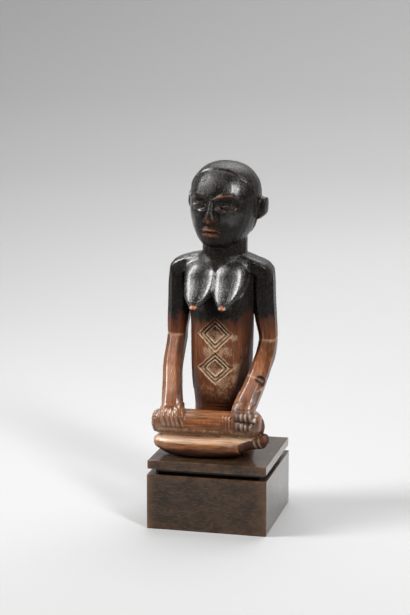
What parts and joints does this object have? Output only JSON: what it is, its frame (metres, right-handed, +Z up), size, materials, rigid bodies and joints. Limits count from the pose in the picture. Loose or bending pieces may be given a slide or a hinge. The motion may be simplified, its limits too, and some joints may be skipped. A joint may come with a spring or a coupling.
{
  "type": "bembe figure",
  "caption": "Carved wooden figure of a woman seated with crossed legs and hands on her shin, lozenges cut in the belly, on a square dark wooden plinth with a groove sawn round it.",
  "frame": {"origin": "middle of the plinth's underside", "axes": "+Z up along the figure; the figure faces -Y; its right hand is on the -X side"},
  "size_m": [0.067, 0.065, 0.1946],
  "materials": {
    "patinated_wood": "reddish brown carved wood, glossy from handling, with a black patina on the head, shoulders and upper arms",
    "stained_wood": "fine-grained wood stained dark brown, satin, with the edges a little worn"
  },
  "bodies": {
    "root": {"figure": "patinated_wood", "plinth": "stained_wood"}
  },
  "joints": []
}
